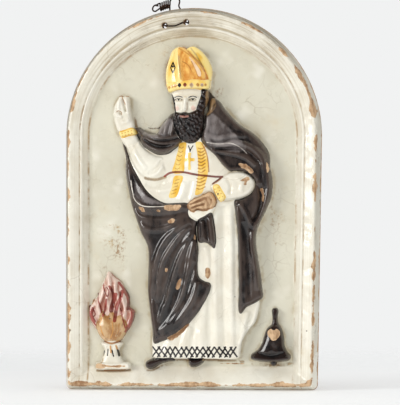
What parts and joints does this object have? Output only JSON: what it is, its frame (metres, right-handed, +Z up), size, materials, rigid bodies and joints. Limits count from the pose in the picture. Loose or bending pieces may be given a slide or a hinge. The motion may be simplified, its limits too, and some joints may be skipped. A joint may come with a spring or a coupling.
{
  "type": "decorative wall plaque",
  "caption": "Arched glazed earthenware wall plaque with a moulded border and a robed figure in relief between a flaming brazier and a handbell, hung by a twisted wire.",
  "frame": {"origin": "where the wire's loop bears on its nail, in the plane of the flat back", "axes": "+Z up along the plaque, +Y out of the flat back towards the wall, front faces -Y, +X to the right of someone facing the front"},
  "size_m": [0.2835, 0.0484, 0.4376],
  "materials": {
    "glazed_earthenware": "glossy cream-white tin glaze painted in manganese black, yellow, ochre and mauve, chipped to buff clay, bare clay behind",
    "iron_wire": "dark, dull, slightly rusted"
  },
  "bodies": {
    "root": {"plaque": "glazed_earthenware", "hanging_wire": "iron_wire"}
  },
  "joints": []
}
